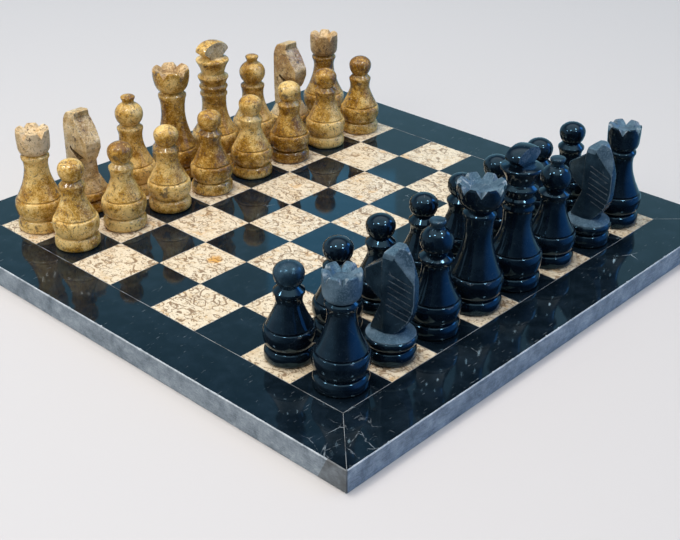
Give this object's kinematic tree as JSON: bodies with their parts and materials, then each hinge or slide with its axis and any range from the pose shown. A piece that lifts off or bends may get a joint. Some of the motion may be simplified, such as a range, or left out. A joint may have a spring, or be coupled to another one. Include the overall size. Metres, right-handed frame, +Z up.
{
  "type": "stone chess set with board",
  "caption": "Stone chess board with inlaid squares and mitred marble border, carrying a full set of turned and carved stone pieces that lift off.",
  "frame": {"origin": "middle of the board's underside, on the table", "axes": "+X from the a-file to the h-file, +Y from the light side to the dark side, +Z up"},
  "size_m": [0.38, 0.38, 0.105],
  "materials": {
    "black_marble": "polished",
    "golden_fossil_stone": "satin polished",
    "cream_fossil_stone": "polished",
    "seam_resin": "matte"
  },
  "bodies": {
    "board": {"board_slab": "black_marble", "joint_resin": "seam_resin", "board_border_light_side": "black_marble", "board_border_h_side": "black_marble", "board_border_dark_side": "black_marble", "board_border_a_side": "black_marble", "light_tiles_rank_1": "cream_fossil_stone", "light_tiles_rank_2": "cream_fossil_stone", "light_tiles_rank_3": "cream_fossil_stone", "light_tiles_rank_4": "cream_fossil_stone", "light_tiles_rank_5": "cream_fossil_stone", "light_tiles_rank_6": "cream_fossil_stone", "light_tiles_rank_7": "cream_fossil_stone", "light_tiles_rank_8": "cream_fossil_stone", "dark_tiles_rank_1": "black_marble", "dark_tiles_rank_2": "black_marble", "dark_tiles_rank_3": "black_marble", "dark_tiles_rank_4": "black_marble", "dark_tiles_rank_5": "black_marble", "dark_tiles_rank_6": "black_marble", "dark_tiles_rank_7": "black_marble", "dark_tiles_rank_8": "black_marble"},
    "light_rook_a1": {"light_rook_a1": "golden_fossil_stone"},
    "light_knight_b1": {"light_knight_b1": "golden_fossil_stone"},
    "light_bishop_c1": {"light_bishop_c1": "golden_fossil_stone"},
    "light_king_d1": {"light_king_d1": "golden_fossil_stone"},
    "light_queen_e1": {"light_queen_e1": "golden_fossil_stone"},
    "light_bishop_f1": {"light_bishop_f1": "golden_fossil_stone"},
    "light_knight_g1": {"light_knight_g1": "golden_fossil_stone"},
    "light_rook_h1": {"light_rook_h1": "golden_fossil_stone"},
    "light_pawn_a2": {"light_pawn_a2": "golden_fossil_stone"},
    "light_pawn_b2": {"light_pawn_b2": "golden_fossil_stone"},
    "light_pawn_c2": {"light_pawn_c2": "golden_fossil_stone"},
    "light_pawn_d2": {"light_pawn_d2": "golden_fossil_stone"},
    "light_pawn_e2": {"light_pawn_e2": "golden_fossil_stone"},
    "light_pawn_f2": {"light_pawn_f2": "golden_fossil_stone"},
    "light_pawn_g2": {"light_pawn_g2": "golden_fossil_stone"},
    "light_pawn_h2": {"light_pawn_h2": "golden_fossil_stone"},
    "dark_rook_a8": {"dark_rook_a8": "black_marble"},
    "dark_knight_b8": {"dark_knight_b8": "black_marble"},
    "dark_bishop_c8": {"dark_bishop_c8": "black_marble"},
    "dark_king_d8": {"dark_king_d8": "black_marble"},
    "dark_queen_e8": {"dark_queen_e8": "black_marble"},
    "dark_bishop_f8": {"dark_bishop_f8": "black_marble"},
    "dark_knight_g8": {"dark_knight_g8": "black_marble"},
    "dark_rook_h8": {"dark_rook_h8": "black_marble"},
    "dark_pawn_a7": {"dark_pawn_a7": "black_marble"},
    "dark_pawn_b7": {"dark_pawn_b7": "black_marble"},
    "dark_pawn_c7": {"dark_pawn_c7": "black_marble"},
    "dark_pawn_d7": {"dark_pawn_d7": "black_marble"},
    "dark_pawn_e7": {"dark_pawn_e7": "black_marble"},
    "dark_pawn_f7": {"dark_pawn_f7": "black_marble"},
    "dark_pawn_g7": {"dark_pawn_g7": "black_marble"},
    "dark_pawn_h7": {"dark_pawn_h7": "black_marble"}
  },
  "joints": [
    {"name": "light_rook_a1_lift", "type": "slide", "parent": "board", "child": "light_rook_a1", "axis": [0, 0, 1], "range_m": [0, 0.1]},
    {"name": "light_knight_b1_lift", "type": "slide", "parent": "board", "child": "light_knight_b1", "axis": [0, 0, 1], "range_m": [0, 0.1]},
    {"name": "light_bishop_c1_lift", "type": "slide", "parent": "board", "child": "light_bishop_c1", "axis": [0, 0, 1], "range_m": [0, 0.1]},
    {"name": "light_king_d1_lift", "type": "slide", "parent": "board", "child": "light_king_d1", "axis": [0, 0, 1], "range_m": [0, 0.1]},
    {"name": "light_queen_e1_lift", "type": "slide", "parent": "board", "child": "light_queen_e1", "axis": [0, 0, 1], "range_m": [0, 0.1]},
    {"name": "light_bishop_f1_lift", "type": "slide", "parent": "board", "child": "light_bishop_f1", "axis": [0, 0, 1], "range_m": [0, 0.1]},
    {"name": "light_knight_g1_lift", "type": "slide", "parent": "board", "child": "light_knight_g1", "axis": [0, 0, 1], "range_m": [0, 0.1]},
    {"name": "light_rook_h1_lift", "type": "slide", "parent": "board", "child": "light_rook_h1", "axis": [0, 0, 1], "range_m": [0, 0.1]},
    {"name": "light_pawn_a2_lift", "type": "slide", "parent": "board", "child": "light_pawn_a2", "axis": [0, 0, 1], "range_m": [0, 0.1]},
    {"name": "light_pawn_b2_lift", "type": "slide", "parent": "board", "child": "light_pawn_b2", "axis": [0, 0, 1], "range_m": [0, 0.1]},
    {"name": "light_pawn_c2_lift", "type": "slide", "parent": "board", "child": "light_pawn_c2", "axis": [0, 0, 1], "range_m": [0, 0.1]},
    {"name": "light_pawn_d2_lift", "type": "slide", "parent": "board", "child": "light_pawn_d2", "axis": [0, 0, 1], "range_m": [0, 0.1]},
    {"name": "light_pawn_e2_lift", "type": "slide", "parent": "board", "child": "light_pawn_e2", "axis": [0, 0, 1], "range_m": [0, 0.1]},
    {"name": "light_pawn_f2_lift", "type": "slide", "parent": "board", "child": "light_pawn_f2", "axis": [0, 0, 1], "range_m": [0, 0.1]},
    {"name": "light_pawn_g2_lift", "type": "slide", "parent": "board", "child": "light_pawn_g2", "axis": [0, 0, 1], "range_m": [0, 0.1]},
    {"name": "light_pawn_h2_lift", "type": "slide", "parent": "board", "child": "light_pawn_h2", "axis": [0, 0, 1], "range_m": [0, 0.1]},
    {"name": "dark_rook_a8_lift", "type": "slide", "parent": "board", "child": "dark_rook_a8", "axis": [0, 0, 1], "range_m": [0, 0.1]},
    {"name": "dark_knight_b8_lift", "type": "slide", "parent": "board", "child": "dark_knight_b8", "axis": [0, 0, 1], "range_m": [0, 0.1]},
    {"name": "dark_bishop_c8_lift", "type": "slide", "parent": "board", "child": "dark_bishop_c8", "axis": [0, 0, 1], "range_m": [0, 0.1]},
    {"name": "dark_king_d8_lift", "type": "slide", "parent": "board", "child": "dark_king_d8", "axis": [0, 0, 1], "range_m": [0, 0.1]},
    {"name": "dark_queen_e8_lift", "type": "slide", "parent": "board", "child": "dark_queen_e8", "axis": [0, 0, 1], "range_m": [0, 0.1]},
    {"name": "dark_bishop_f8_lift", "type": "slide", "parent": "board", "child": "dark_bishop_f8", "axis": [0, 0, 1], "range_m": [0, 0.1]},
    {"name": "dark_knight_g8_lift", "type": "slide", "parent": "board", "child": "dark_knight_g8", "axis": [0, 0, 1], "range_m": [0, 0.1]},
    {"name": "dark_rook_h8_lift", "type": "slide", "parent": "board", "child": "dark_rook_h8", "axis": [0, 0, 1], "range_m": [0, 0.1]},
    {"name": "dark_pawn_a7_lift", "type": "slide", "parent": "board", "child": "dark_pawn_a7", "axis": [0, 0, 1], "range_m": [0, 0.1]},
    {"name": "dark_pawn_b7_lift", "type": "slide", "parent": "board", "child": "dark_pawn_b7", "axis": [0, 0, 1], "range_m": [0, 0.1]},
    {"name": "dark_pawn_c7_lift", "type": "slide", "parent": "board", "child": "dark_pawn_c7", "axis": [0, 0, 1], "range_m": [0, 0.1]},
    {"name": "dark_pawn_d7_lift", "type": "slide", "parent": "board", "child": "dark_pawn_d7", "axis": [0, 0, 1], "range_m": [0, 0.1]},
    {"name": "dark_pawn_e7_lift", "type": "slide", "parent": "board", "child": "dark_pawn_e7", "axis": [0, 0, 1], "range_m": [0, 0.1]},
    {"name": "dark_pawn_f7_lift", "type": "slide", "parent": "board", "child": "dark_pawn_f7", "axis": [0, 0, 1], "range_m": [0, 0.1]},
    {"name": "dark_pawn_g7_lift", "type": "slide", "parent": "board", "child": "dark_pawn_g7", "axis": [0, 0, 1], "range_m": [0, 0.1]},
    {"name": "dark_pawn_h7_lift", "type": "slide", "parent": "board", "child": "dark_pawn_h7", "axis": [0, 0, 1], "range_m": [0, 0.1]}
  ]
}
